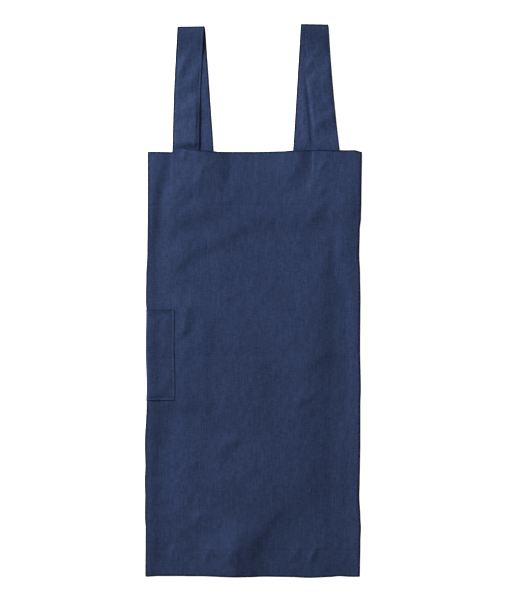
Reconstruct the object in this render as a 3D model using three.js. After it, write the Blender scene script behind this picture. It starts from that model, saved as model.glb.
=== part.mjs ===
// Cross back apron of navy linen, laid flat on its back with its wings and straps folded behind it.
// Millimetres, +Z up. The front panel faces up, its top edge towards +Y, and the lowest layer lies at z = 0.
// One cut of linen makes the front panel and two wings, folded behind at the sides, where they overlap.
// Each strap runs from under the front's top edge, over the shoulder, to the opposite wing's corner.

import * as THREE from "three";

// The linen and the air between its layers
const CLOTH = 1.1; // one layer of linen
const STRAP_THICKNESS = 1.4; // a strap is linen doubled and pressed
const GAP = 0.3; // between two layers that lie on each other
const AIR = 1.1; // slack under the front panel, where nothing else lifts it
const SOFT = 12; // how far the cloth takes to come down off a layer's edge
const MARGIN = 2; // how far past that edge it stays up

// The body
const FRONT_WIDTH = 404; // from side fold to side fold
const BODY_LENGTH = 800; // from top edge to hem
const WING_WIDTH = 328; // what is folded behind on each side
const FOLD_REACH = 2.4; // half depth of the round side folds
const PUFF_HEIGHT = 1.9; // how much the cloth stands up beside a side fold
const PUFF_REACH = 22; // and how far in from the fold
const EDGE_WAVE = 3; // how far the side folds wander from straight
const TOP_WAVE = 9; // how far the top edge is pushed up at the straps
const HEM_WAVE = 3; // how far the hem wanders from straight
const RELIEF = 3.2; // height of the front panel's main folds

// Bands stitched on the inside
const FACING_DEPTH = 103; // top facing, whose lower edge shows as a stitch line
const HEM_DEPTH = 51; // turned-up hem
const BAND_INSET = 16; // both stop this short of the side folds

// Straps
const STRAP_WIDTH = 50;
const STRAP_RISE = 241; // from the top edge up to the fold at the shoulder
const STRAP_TAIL = 82; // sewn length under the top edge
const STRAP_INSET = 1.5; // from a wing's free edge to the strap on it
const STRAP_BEND = 1.7; // radius of the fold at the shoulder
const STRAP_AIR = 0.9; // slack between a strap's two layers
const STRAP_LEAVE = 42; // length in which a strap comes down from the body's thickness
// Each strap's side of the front, and its rise as a share of STRAP_RISE. foot is where its middle crosses the
// top edge, front and back are where the middles of its two layers end at the shoulder, and bow is how far the
// front layer bends sideways in between, as shares of the front's width. tilt is the slope of the shoulder fold.
const STRAPS = [
  { name: "strap_left", side: -1, rise: 0.983, foot: 0.312, front: 0.293, back: 0.288, bow: 0, tilt: 0.012 },
  { name: "strap_right", side: 1, rise: 1, foot: 0.339, front: 0.289, back: 0.282, bow: -0.006, tilt: -0.018 },
];

// Patch pocket, which wraps round the left side fold
const POCKET_TOP = 297; // below the top edge
const POCKET_HEIGHT = 171;
const POCKET_FRONT = 53; // width on the front
const POCKET_BACK = 100; // width behind the fold

// Mesh
const ACROSS = 21; // longest cell across the front
const ALONG = 36; // longest cell down the body
const WING_CELL = 85; // longest cell across a wing
const FOLD_STEPS = 6; // round a fold
const STRAP_CELL = 28; // longest cell along a strap
const STRAP_COLUMNS = 3; // across a strap

// Side folds: where along the body, and how far out the left and right folds lie there, in EDGE_WAVEs
const SIDE_LINE = [
  { along: 0, left: -0.85, right: 1 },
  { along: 0.12, left: -0.85, right: 0.6 },
  { along: 0.155, left: -0.8, right: 0.35 },
  { along: 0.185, left: -0.7, right: -0.4 },
  { along: 0.24, left: -0.55, right: -0.7 },
  { along: 0.29, left: 0.1, right: -0.15 },
  { along: 0.35, left: 0.3, right: 0.1 },
  { along: 0.38, left: -0.2, right: 0 },
  { along: 0.46, left: 0.1, right: -0.15 },
  { along: 0.56, left: -0.5, right: 0.3 },
  { along: 0.595, left: -0.15, right: 0 },
  { along: 0.69, left: 0.95, right: 0 },
  { along: 0.74, left: 0.6, right: -0.2 },
  { along: 0.775, left: 1, right: -0.4 },
  { along: 0.81, left: 0.75, right: -0.65 },
  { along: 0.86, left: 0.9, right: 0 },
  { along: 0.885, left: 0.5, right: 0.35 },
  { along: 0.92, left: 0.5, right: 0 },
  { along: 1, left: 0.65, right: -0.3 },
];

// Top edge: where across the front, and how far up it lies, in TOP_WAVEs
const TOP_LINE = [
  { across: -0.5, rise: 0.04 },
  { across: -0.39, rise: -0.05 },
  { across: -0.355, rise: 0.85 },
  { across: -0.286, rise: 0.32 },
  { across: -0.188, rise: 0 },
  { across: -0.02, rise: 0 },
  { across: 0.13, rise: 0.1 },
  { across: 0.175, rise: 0.26 },
  { across: 0.3, rise: 0.45 },
  { across: 0.4, rise: 0.31 },
  { across: 0.5, rise: 0.37 },
];

// Hem: where across the front, and how far down it lies, in HEM_WAVEs
const HEM_LINE = [
  { across: -0.5, drop: -0.1 },
  { across: -0.39, drop: -0.47 },
  { across: -0.25, drop: -0.58 },
  { across: -0.11, drop: -0.27 },
  { across: 0.03, drop: 0 },
  { across: 0.17, drop: 0.22 },
  { across: 0.264, drop: 0.7 },
  { across: 0.357, drop: 0.27 },
  { across: 0.403, drop: -0.23 },
  { across: 0.45, drop: 0.1 },
  { across: 0.5, drop: 0.1 },
];

// Main folds and hollows of the front panel. x and dx, the middle and the half length across, are shares of the
// front's width, and y and dy, the same down from the top edge, are shares of the body's length. The width is a
// share of the front's width and the height one of RELIEF, below 0 for a hollow.
const FOLDS = [
  { x: -0.46, y: 0.03, dx: -0.03, dy: 0.05, width: 0.05, height: 0.3 }, // left shoulder ridge
  { x: -0.41, y: 0.07, dx: -0.04, dy: 0.06, width: 0.04, height: -0.3 }, // left shoulder hollow
  { x: -0.28, y: 0.25, dx: -0.11, dy: 0.04, width: 0.06, height: 0.55 }, // ridge below the facing
  { x: -0.24, y: 0.29, dx: -0.11, dy: 0.04, width: 0.05, height: -0.3 }, // hollow under that ridge
  { x: 0.13, y: 0.03, dx: -0.04, dy: 0.05, width: 0.06, height: 0.5 }, // right shoulder ridge
  { x: 0.31, y: 0.16, dx: -0.05, dy: 0.02, width: 0.04, height: -0.3 }, // hollow below the right tail
  { x: 0.29, y: 0.42, dx: 0, dy: 0.2, width: 0.06, height: 0.4 }, // ridge inside the wing's edge
  { x: 0.37, y: 0.45, dx: -0.02, dy: 0.3, width: 0.05, height: -0.35 }, // long hollow on the right
  { x: 0.05, y: 0.42, dx: 0.06, dy: 0.12, width: 0.2, height: 0.35 }, // swell at the middle
  { x: -0.22, y: 0.44, dx: -0.02, dy: 0.05, width: 0.06, height: 0.3 }, // ridge beside the pocket
  { x: -0.43, y: 0.8, dx: 0, dy: 0.17, width: 0.05, height: -0.35 }, // hollow on the left
  { x: -0.13, y: 0.7, dx: 0.03, dy: 0.03, width: 0.05, height: 0.5 }, // crumple
  { x: -0.14, y: 0.92, dx: 0.1, dy: 0, width: 0.06, height: 0.55 }, // ridge over the hem on the left
  { x: 0.01, y: 0.94, dx: -0.02, dy: 0.03, width: 0.07, height: -0.35 }, // hollow at the hem
  { x: 0.14, y: 0.91, dx: -0.08, dy: 0.05, width: 0.07, height: 0.5 }, // ridge over the hem on the right
];

// What one more layer adds to all that lies on it
const LAYER = CLOTH + GAP;
const STRAP_LAYER = STRAP_THICKNESS + GAP;
const HALF_FRONT = FRONT_WIDTH / 2;
const FOLD_LINE = HALF_FRONT - CLOTH / 2 - FOLD_REACH; // where the flat cloth turns into a side fold
const POCKET_BOTTOM = POCKET_TOP + POCKET_HEIGHT;
const WING_EDGE = WING_WIDTH - HALF_FRONT; // how far a wing's free edge lies past the middle
const BACK_FOOT = WING_EDGE - STRAP_INSET - STRAP_WIDTH / 2; // a strap's centre on a wing, past the middle
const frontFoot = (strap) => strap.side * strap.foot * FRONT_WIDTH; // and under the front's top edge

function smooth(t) {
  const u = Math.min(1, Math.max(0, t));
  return u * u * (3 - 2 * u);
}

// 1 from low to high and a little past them, and smoothly down to 0 further out
function cover(value, low, high) {
  const outside = Math.max(low - value, value - high) - MARGIN;
  return 1 - smooth(outside / SOFT);
}

// A column of a table at a place between its rows
function along(table, key, column, place) {
  const next = table.findIndex((row) => row[key] >= place);
  if (next <= 0) return table[next < 0 ? table.length - 1 : 0][column];
  const [a, b] = [table[next - 1], table[next]];
  return THREE.MathUtils.lerp(a[column], b[column], smooth((place - a[key]) / (b[key] - a[key])));
}

// The places in keys, with more between them so that no cell is longer than step
function stations(keys, step) {
  const sorted = [...new Set(keys)].sort((a, b) => a - b);
  const made = [sorted[0]];
  for (const key of sorted.slice(1)) {
    const from = made[made.length - 1];
    if (key - from < 1) continue;
    const cells = Math.ceil((key - from) / step);
    for (let i = 1; i <= cells; i++) made.push(from + ((key - from) * i) / cells);
  }
  made[made.length - 1] = sorted[sorted.length - 1];
  return made;
}

// The two edges of a footprint, each with where the cloth over it starts and stops coming down
function edgesOf(low, high) {
  return [low - MARGIN - SOFT, low - MARGIN, high + MARGIN, high + MARGIN + SOFT];
}

// Height of the front panel's folds at x across and down below the top edge
function foldsAt(x, down) {
  let height = 0;
  for (const fold of FOLDS) {
    const reach = new THREE.Vector2(fold.dx * FRONT_WIDTH, fold.dy * BODY_LENGTH);
    const from = new THREE.Vector2(x - fold.x * FRONT_WIDTH, down - fold.y * BODY_LENGTH);
    const share = THREE.MathUtils.clamp(from.dot(reach) / reach.lengthSq(), -1, 1);
    const away = from.distanceTo(reach.clone().multiplyScalar(share)) / (fold.width * FRONT_WIDTH);
    height += fold.height * RELIEF * Math.exp(-away * away);
  }
  return height;
}

// Undersides of the layers, from the floor up, at x across and down below the top edge
const tailDown = (down) => cover(down, -BODY_LENGTH, STRAP_TAIL);
const onBackPocket = (x, down) =>
  cover(x, -FRONT_WIDTH, -HALF_FRONT + POCKET_BACK) * cover(down, POCKET_TOP, POCKET_BOTTOM);
const onLeftWing = (x) => cover(x, -FRONT_WIDTH, WING_EDGE);
const onRightWing = (x) => cover(x, -WING_EDGE, FRONT_WIDTH);
const onBackTail = (x, down, side) =>
  cover(x, side * BACK_FOOT - STRAP_WIDTH / 2, side * BACK_FOOT + STRAP_WIDTH / 2) * tailDown(down);
const onFrontTail = (x, down, strap) =>
  cover(x, frontFoot(strap) - STRAP_WIDTH / 2, frontFoot(strap) + STRAP_WIDTH / 2) * tailDown(down);

const BACK_TAIL_LEFT = 2 * LAYER; // the left strap's back tail lies on both wings
const BACK_TAIL_RIGHT = LAYER; // the right strap's lies on the left wing, under the right wing
const FRONT_TAIL = 2 * LAYER + STRAP_LAYER; // both front tails lie on the wings and a back tail

function leftWingUnderside(x, down) {
  return LAYER * onBackPocket(x, down);
}

function rightWingUnderside(x, down) {
  return leftWingUnderside(x, down) + LAYER * onLeftWing(x) + STRAP_LAYER * onBackTail(x, down, 1);
}

function frontUnderside(x, down) {
  let under = rightWingUnderside(x, down) + LAYER * onRightWing(x) + STRAP_LAYER * onBackTail(x, down, -1);
  for (const strap of STRAPS)
    under = THREE.MathUtils.lerp(under, FRONT_TAIL + STRAP_LAYER, onFrontTail(x, down, strap));
  under += LAYER * cover(down, -BODY_LENGTH, FACING_DEPTH);
  under += LAYER * cover(down, BODY_LENGTH - HEM_DEPTH, 2 * BODY_LENGTH);
  const inFromFold = HALF_FRONT - Math.abs(x) - 2 * FOLD_REACH;
  const puff = PUFF_HEIGHT * (1 - smooth(inFromFold / PUFF_REACH));
  return under + puff + Math.max(GAP, AIR + foldsAt(x, down) * smooth(inFromFold / PUFF_REACH));
}

// The body's mid line across one row, from the left wing's free edge round the front to the right wing's
function bodyRow(down, columns) {
  const place = down / BODY_LENGTH;
  const line = [];
  const outline = (side) => HALF_FRONT + EDGE_WAVE * along(SIDE_LINE, "along", side, place);
  const leftFold = -outline("left") + CLOTH / 2 + FOLD_REACH;
  const rightFold = outline("right") - CLOTH / 2 - FOLD_REACH;
  // Places across are measured between straight folds and then moved with the wandering ones.
  const moved = (x) => THREE.MathUtils.mapLinear(x, -FOLD_LINE, FOLD_LINE, leftFold, rightFold);
  const wingY = -down;
  const frontY = (x) => {
    const across = x / FRONT_WIDTH;
    const rise = TOP_WAVE * along(TOP_LINE, "across", "rise", across) * (1 - smooth(down / FACING_DEPTH));
    const nearHem = smooth(1 + (down - BODY_LENGTH) / HEM_DEPTH);
    const drop = HEM_WAVE * along(HEM_LINE, "across", "drop", across) * nearHem;
    return -down + (rise - drop) * smooth((HALF_FRONT - Math.abs(x)) / BAND_INSET);
  };
  const turn = (x, low, high, way) => {
    for (let i = 1; i < FOLD_STEPS; i++) {
      const angle = (Math.PI * i) / FOLD_STEPS;
      const climb = (high + low) / 2 - (way * (high - low) * Math.cos(angle)) / 2;
      line.push(new THREE.Vector3(moved(x) + Math.sign(x) * FOLD_REACH * Math.sin(angle), wingY, climb));
    }
  };
  const middle = CLOTH / 2; // from a layer's underside to its mid line
  for (const x of columns.leftWing)
    line.push(new THREE.Vector3(moved(x), wingY, leftWingUnderside(x, down) + middle));
  const [leftLow, leftHigh] = [leftWingUnderside(-FOLD_LINE, down), frontUnderside(-FOLD_LINE, down)];
  turn(-FOLD_LINE, leftLow + middle, leftHigh + middle, 1);
  for (const x of columns.front)
    line.push(new THREE.Vector3(moved(x), frontY(x), frontUnderside(x, down) + middle));
  const [rightLow, rightHigh] = [rightWingUnderside(FOLD_LINE, down), frontUnderside(FOLD_LINE, down)];
  turn(FOLD_LINE, rightLow + middle, rightHigh + middle, -1);
  for (const x of columns.rightWing)
    line.push(new THREE.Vector3(moved(x), wingY, rightWingUnderside(x, down) + middle));
  return line;
}

// Outward normals of a grid of mid points, whose rows run down the cloth
function normalsOf(grid) {
  return grid.map((row, i) =>
    row.map((point, j) => {
      const down = grid[Math.min(i + 1, grid.length - 1)][j].clone().sub(grid[Math.max(i - 1, 0)][j]);
      const across = row[Math.min(j + 1, row.length - 1)].clone().sub(row[Math.max(j - 1, 0)]);
      return down.cross(across).normalize();
    }),
  );
}

// A grid moved out along its normals, or in where distance is below 0
function offset(grid, normals, distance) {
  return grid.map((row, i) => row.map((point, j) => point.clone().addScaledVector(normals[i][j], distance)));
}

// A closed wall of cloth round a grid of mid points
function clothWall(grid, normals, thickness) {
  const [outer, inner] = [offset(grid, normals, thickness / 2), offset(grid, normals, -thickness / 2)];
  const corners = [];
  const quad = (a, b, c, d) => corners.push(a, b, c, a, c, d);
  const [lastRow, lastColumn] = [grid.length - 1, grid[0].length - 1];
  for (let i = 0; i < lastRow; i++)
    for (let j = 0; j < lastColumn; j++) {
      quad(outer[i][j], outer[i + 1][j], outer[i + 1][j + 1], outer[i][j + 1]);
      quad(inner[i][j], inner[i][j + 1], inner[i + 1][j + 1], inner[i + 1][j]);
    }
  for (let j = 0; j < lastColumn; j++) {
    quad(outer[0][j], outer[0][j + 1], inner[0][j + 1], inner[0][j]);
    quad(outer[lastRow][j + 1], outer[lastRow][j], inner[lastRow][j], inner[lastRow][j + 1]);
  }
  for (let i = 0; i < lastRow; i++) {
    quad(outer[i + 1][0], outer[i][0], inner[i][0], inner[i + 1][0]);
    quad(outer[i][lastColumn], outer[i + 1][lastColumn], inner[i + 1][lastColumn], inner[i][lastColumn]);
  }
  return new THREE.BufferGeometry().setFromPoints(corners);
}

// The cloth's dyed colour, which looks darker inside and paler where it is pressed
function linen(name, color, roughness) {
  return new THREE.MeshStandardMaterial({ name, color, roughness, metalness: 0 });
}

const MATERIALS = {
  body: linen("navy_linen", 0x2f3d5f, 0.92),
  inside: linen("navy_linen_inside", 0x2a3654, 0.94),
  strap: linen("pressed_strap_linen", 0x37466b, 0.9),
};

function clothMesh(name, grid, normals, thickness, material) {
  const geometry = clothWall(grid, normals, thickness);
  geometry.computeVertexNormals();
  const mesh = new THREE.Mesh(geometry, material);
  mesh.name = name;
  return mesh;
}

// A strap's mid line from its front tail's end to its back tail's: its centre, how far up it is, and its height
function strapLine(strap) {
  const backFoot = strap.side * BACK_FOOT;
  const half = STRAP_THICKNESS / 2;
  const frontTail = FRONT_TAIL + half;
  const backTail = (strap.side < 0 ? BACK_TAIL_LEFT : BACK_TAIL_RIGHT) + half;
  const lying = STRAP_THICKNESS + GAP + STRAP_AIR + half;
  const bendTop = half + 2 * STRAP_BEND;
  const straightUp = strap.rise * STRAP_RISE - half - STRAP_BEND;
  const ups = stations([-STRAP_TAIL, 0, TOP_WAVE, TOP_WAVE + STRAP_LEAVE, straightUp], STRAP_CELL);
  const ends = [strap.front, strap.back].map((share) => strap.side * share * FRONT_WIDTH);
  const centre = (up, foot, end, bow) => {
    const climb = Math.max(0, up) / straightUp;
    return THREE.MathUtils.lerp(foot, end, climb) + strap.side * bow * FRONT_WIDTH * Math.sin(Math.PI * climb);
  };
  const leave = (up) => smooth((up - TOP_WAVE) / STRAP_LEAVE);
  const line = [];
  for (const up of ups) {
    const towardsBend = smooth((up - TOP_WAVE - STRAP_LEAVE) / (straightUp - TOP_WAVE - STRAP_LEAVE));
    const level = THREE.MathUtils.lerp(lying, bendTop, towardsBend);
    const x = centre(up, frontFoot(strap), ends[0], strap.bow);
    line.push({ x, up, z: THREE.MathUtils.lerp(frontTail, level, leave(up)) });
  }
  for (let i = 1; i < FOLD_STEPS; i++) {
    const angle = (Math.PI * i) / FOLD_STEPS;
    const up = straightUp + STRAP_BEND * Math.sin(angle);
    const x = THREE.MathUtils.lerp(ends[0], ends[1], i / FOLD_STEPS);
    line.push({ x, up, z: half + STRAP_BEND + STRAP_BEND * Math.cos(angle) });
  }
  for (const up of ups.toReversed())
    line.push({ x: centre(up, backFoot, ends[1], 0), up, z: THREE.MathUtils.lerp(backTail, half, leave(up)) });
  return { line, straightUp };
}

function strapMesh(strap) {
  const { line, straightUp } = strapLine(strap);
  const grid = line.map(({ x, up, z }) => {
    const row = [];
    for (let j = 0; j <= STRAP_COLUMNS; j++) {
      const aside = (0.5 - j / STRAP_COLUMNS) * STRAP_WIDTH;
      row.push(new THREE.Vector3(x + aside, up + strap.tilt * aside * smooth(up / straightUp), z));
    }
    return row;
  });
  return clothMesh(strap.name, grid, normalsOf(grid), STRAP_THICKNESS, MATERIALS.strap);
}

function bodyColumns() {
  const between = (keys, low, high, step) =>
    stations([low, high, ...keys.filter((key) => key > low && key < high)], step);
  const tailAt = (foot) => edgesOf(foot - STRAP_WIDTH / 2, foot + STRAP_WIDTH / 2);
  const tails = STRAPS.flatMap((strap) => tailAt(frontFoot(strap)));
  const bandEnd = HALF_FRONT - BAND_INSET;
  const front = [-bandEnd, bandEnd, -HALF_FRONT + POCKET_FRONT, ...tails];
  const leftWing = [-HALF_FRONT + POCKET_BACK, ...edgesOf(-WING_EDGE, -HALF_FRONT + POCKET_BACK)];
  const rightWing = [...tailAt(BACK_FOOT), ...edgesOf(WING_EDGE, WING_EDGE)];
  return {
    leftWing: between(leftWing, -FOLD_LINE, WING_EDGE, WING_CELL).toReversed(),
    front: between(front, -FOLD_LINE, FOLD_LINE, ACROSS),
    rightWing: between(rightWing, -WING_EDGE, FOLD_LINE, WING_CELL).toReversed(),
  };
}

function bodyDowns() {
  const pocket = [POCKET_TOP, POCKET_BOTTOM, ...edgesOf(POCKET_TOP, POCKET_BOTTOM)];
  const bands = [STRAP_TAIL, STRAP_TAIL + MARGIN, STRAP_TAIL + MARGIN + SOFT, FACING_DEPTH];
  const hem = [BODY_LENGTH - HEM_DEPTH, BODY_LENGTH - HEM_DEPTH - MARGIN - SOFT];
  return stations([0, ...bands, ...pocket, ...hem, BODY_LENGTH], ALONG);
}

// Rows and columns of a grid, from one place to another
function cut(grid, rows, columns) {
  return grid.slice(rows[0], rows[1] + 1).map((row) => row.slice(columns[0], columns[1] + 1));
}

function makeApron() {
  const columns = bodyColumns();
  const downs = bodyDowns();
  const body = downs.map((down) => bodyRow(down, columns));
  const normals = normalsOf(body);
  const rowAt = (down) => downs.findIndex((d) => Math.abs(d - down) < 1);
  const frontStart = columns.leftWing.length + FOLD_STEPS - 1;
  const frontAt = (x) => frontStart + columns.front.findIndex((c) => Math.abs(c - x) < 1);
  const backAt = (x) => columns.leftWing.findIndex((c) => Math.abs(c - x) < 1);

  const lastRow = downs.length - 1;
  const bandColumns = [frontAt(-HALF_FRONT + BAND_INSET), frontAt(HALF_FRONT - BAND_INSET)];
  // A piece of cloth that lies on a stretch of the body, outside it or inside where distance is below 0
  const layered = (name, rows, cols, distance, material) => {
    const there = cut(normals, rows, cols);
    return clothMesh(name, offset(cut(body, rows, cols), there, distance), there, CLOTH, material);
  };
  const apron = new THREE.Group();
  apron.add(
    clothMesh("body_panel", body, normals, CLOTH, MATERIALS.body),
    layered("top_facing", [0, rowAt(FACING_DEPTH)], bandColumns, -LAYER, MATERIALS.inside),
    layered("bottom_hem", [rowAt(BODY_LENGTH - HEM_DEPTH), lastRow], bandColumns, -LAYER, MATERIALS.inside),
    layered(
      "side_pocket",
      [rowAt(POCKET_TOP), rowAt(POCKET_BOTTOM)],
      [backAt(-HALF_FRONT + POCKET_BACK), frontAt(-HALF_FRONT + POCKET_FRONT)],
      LAYER,
      MATERIALS.body,
    ),
    ...STRAPS.map(strapMesh),
  );
  return apron;
}

// The origin lies on the floor, under the middle of the whole apron.
const apron = makeApron();
const bounds = new THREE.Box3().setFromObject(apron);
const middle = bounds.getCenter(new THREE.Vector3());
apron.position.set(-middle.x, -middle.y, -bounds.min.z);

export default apron;
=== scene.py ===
import math

import bmesh
import bpy
import numpy as np
from mathutils import Matrix, Vector, noise


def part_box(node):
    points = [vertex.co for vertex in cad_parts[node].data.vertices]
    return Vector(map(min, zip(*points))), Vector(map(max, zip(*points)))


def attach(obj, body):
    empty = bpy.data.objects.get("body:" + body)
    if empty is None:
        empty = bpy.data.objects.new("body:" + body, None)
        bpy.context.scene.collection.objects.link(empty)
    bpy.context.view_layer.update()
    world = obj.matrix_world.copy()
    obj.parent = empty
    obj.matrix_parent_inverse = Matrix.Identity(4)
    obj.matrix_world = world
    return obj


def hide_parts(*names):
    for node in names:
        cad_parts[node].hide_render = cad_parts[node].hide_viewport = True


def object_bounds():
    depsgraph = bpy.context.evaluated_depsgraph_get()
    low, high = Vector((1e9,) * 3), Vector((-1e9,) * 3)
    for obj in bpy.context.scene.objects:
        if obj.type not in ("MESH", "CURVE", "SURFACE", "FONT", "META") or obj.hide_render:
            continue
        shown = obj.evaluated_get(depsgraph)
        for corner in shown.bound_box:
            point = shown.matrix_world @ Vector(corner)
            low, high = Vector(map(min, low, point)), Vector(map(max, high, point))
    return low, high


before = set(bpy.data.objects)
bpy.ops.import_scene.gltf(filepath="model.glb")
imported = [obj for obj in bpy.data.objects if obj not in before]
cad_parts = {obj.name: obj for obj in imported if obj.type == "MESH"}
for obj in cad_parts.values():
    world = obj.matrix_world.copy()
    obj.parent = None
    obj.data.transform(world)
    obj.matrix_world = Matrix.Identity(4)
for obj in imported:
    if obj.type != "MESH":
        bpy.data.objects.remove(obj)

cad_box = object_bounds()

# Viewpoint
# The photograph looks straight down at the laid apron, whose length nearly fills the upright frame.
SHOWN_LENGTH = 1.139  # what the frame's long side takes in, in metres
CAMERA_HEIGHT = 2.6  # over the front panel
CAMERA_ASIDE = (-0.0016, -0.0043)  # the apron lies a little off the frame's middle

camera_data = bpy.data.cameras.new("overhead")
camera_data.sensor_width = 36
camera_data.lens = camera_data.sensor_width * CAMERA_HEIGHT / SHOWN_LENGTH
camera = bpy.data.objects.new("overhead", camera_data)
camera.location = (*CAMERA_ASIDE, CAMERA_HEIGHT + cad_box[1].z)
bpy.context.scene.collection.objects.link(camera)
bpy.context.scene.camera = camera
bpy.context.scene.view_settings.view_transform = "Standard"


# The front panel and its wings
# One cut of navy linen, 1.06 m by 0.8 m, makes the front panel and a wing at each side. The wings are folded
# behind it, the right one over the left one, and the panel lies on them in the soft folds of the photograph.
MM = 0.001
CLOTH = 0.8 * MM
LAYER = 1.4 * MM  # what one more layer of linen lifts all that lies on it
STRAP_LAYER = 1.7 * MM  # and what a doubled strap does
GAP = 0.3 * MM  # between the front and what it touches
AIR = 1.1 * MM  # slack under the front panel
MARGIN = 2 * MM  # how far past an edge the cloth over it stays up
SOFT = 12 * MM  # and how far it then takes to come down
SEAM_SOFT = 4 * MM  # the same past the edges of a strap's tail and of the pocket
WING_TOUCH = 20 * MM  # and past a wing's edge, where the front touches it
WING_SOFT = 30 * MM  # the slack front takes this far past a wing's edge or the pocket's
TAIL_SOFT = 60 * MM  # this far past a strap's side
TAIL_END_SOFT = 100 * MM  # this far past its end
BAND_SOFT = 52 * MM  # and this far past the facing or the hem
FAR = 10.0  # past any edge of the apron

FRONT_WIDTH = 404 * MM
BODY_LENGTH = 800 * MM
WING_WIDTH = 328 * MM
FACING_DEPTH = 103 * MM
HEM_DEPTH = 51 * MM
BAND_INSET = 16 * MM
STRAP_WIDTH = 50 * MM
STRAP_TAIL = 82 * MM
STRAP_INSET = 1.5 * MM
STITCH_INSET = 2 * MM  # from the facing's and the hem's inner edges to their stitching
POCKET_TOP = 297 * MM
POCKET_BACK = 100 * MM
FOLD_REACH = 2.4 * MM  # how far a side fold bulges out past where it starts to turn
PUFF_HEIGHT = 2.1 * MM  # what the front stands higher beside a side fold
PUFF_REACH = 24 * MM
PUFF_CALM = 0.45  # what is left of the front's folds there
EDGE_WAVE = 3 * MM  # the units in which the tables give how the side folds, the top edge and the hem wander
TOP_WAVE = 9 * MM
HEM_WAVE = 3 * MM
SINK = 0.4 * MM  # how softly a hollow comes to rest
FOLD_END = 0.3  # share of a fold's length over which it rises
FOLD_FADE = 3  # a fold is nothing past so many times its reach
WANDER = 4 * MM  # how far the folds' lines wander
EDGE_ROLL = 1.8 * MM  # how near the top edge and the hem the cloth turns down into its fold
EDGE_DROP = 0.55 * CLOTH  # and how far down
SEAM_PULL = 0.15 * MM  # how far stitching draws the front down
SEAM_PULL_REACH = 1.6 * MM

pocket_low, pocket_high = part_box("side_pocket")
TOP_EDGE = pocket_high.y + POCKET_TOP  # where the body's top edge lies along Y
POCKET_BOTTOM = TOP_EDGE - pocket_low.y
HALF_FRONT = FRONT_WIDTH / 2
FOLD_LINE = HALF_FRONT - CLOTH / 2 - FOLD_REACH
FOLD_ARC = 8.6 * MM  # cloth taken up by a side fold
WING_EDGE = WING_WIDTH - HALF_FRONT
FOLD_MIDDLE = FOLD_LINE + FOLD_ARC / 2
CLOTH_EDGE = FOLD_LINE + FOLD_ARC + FOLD_LINE + WING_EDGE  # half the cut's width
POCKET_EDGE_BEHIND = POCKET_BACK - HALF_FRONT
HEM_TOP = BODY_LENGTH - HEM_DEPTH
FACING_STITCHES = FACING_DEPTH - STITCH_INSET
HEM_STITCHES = HEM_TOP + STITCH_INSET
BACK_FOOT = WING_EDGE - STRAP_INSET - STRAP_WIDTH / 2
FRONT_TAIL = 2 * LAYER + STRAP_LAYER  # height of the straps' front tails

# Each strap's side of the front, and its rise as a share of STRAP_RISE. foot is where its middle crosses the
# top edge, front and back are where its two layers end at the shoulder, and bow is how far its front layer
# bends out between them, all as shares of the front's width. tilt is the shoulder's slope, and the last
# column how much painted shade darkens the strap near its shoulder.
STRAPS = [
    dict(name="strap_left", side=-1, rise=0.983, foot=0.316, front=0.293, back=0.287,
         bow=0.005, tilt=0.012, shoulder_shade=0.4),
    dict(name="strap_right", side=1, rise=1.0, foot=0.342, front=0.289, back=0.282,
         bow=-0.004, tilt=-0.018, shoulder_shade=0.75),
]

# How far out the side folds lie, in EDGE_WAVEs, along the body from its top edge
SIDE_LINE = dict(
    along=(0, 0.12, 0.155, 0.185, 0.24, 0.29, 0.35, 0.38, 0.46, 0.56,
           0.595, 0.69, 0.74, 0.775, 0.81, 0.86, 0.885, 0.92, 1),
    left=(-0.85, -0.85, -0.8, -0.7, -0.55, 0.1, 0.3, -0.2, 0.1, -0.5,
          -0.15, 0.95, 0.6, 1, 0.75, 0.9, 0.5, 0.5, 0.65),
    right=(1, 0.6, 0.35, -0.4, -0.7, -0.15, 0.1, 0, -0.15, 0.3,
           0, 0, -0.2, -0.4, -0.65, 0, 0.35, 0, -0.3),
)
# How far up the top edge lies, in TOP_WAVEs, and how far down the hem, in HEM_WAVEs, across the front
TOP_LINE = dict(
    across=(-0.5, -0.385, -0.366, -0.345, -0.286, -0.245, -0.17, -0.02, 0.13, 0.175, 0.3, 0.4, 0.5),
    rise=(0.04, -0.05, 0.95, 0.93, 0.55, 0.3, 0, 0, 0.1, 0.26, 0.45, 0.31, 0.37),
)
HEM_LINE = dict(
    across=(-0.5, -0.39, -0.25, -0.11, 0.03, 0.17, 0.264, 0.357, 0.403, 0.45, 0.5),
    drop=(-0.1, -0.47, -0.58, -0.27, 0, 0.22, 0.7, 0.27, -0.23, 0.1, 0.1),
)

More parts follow.
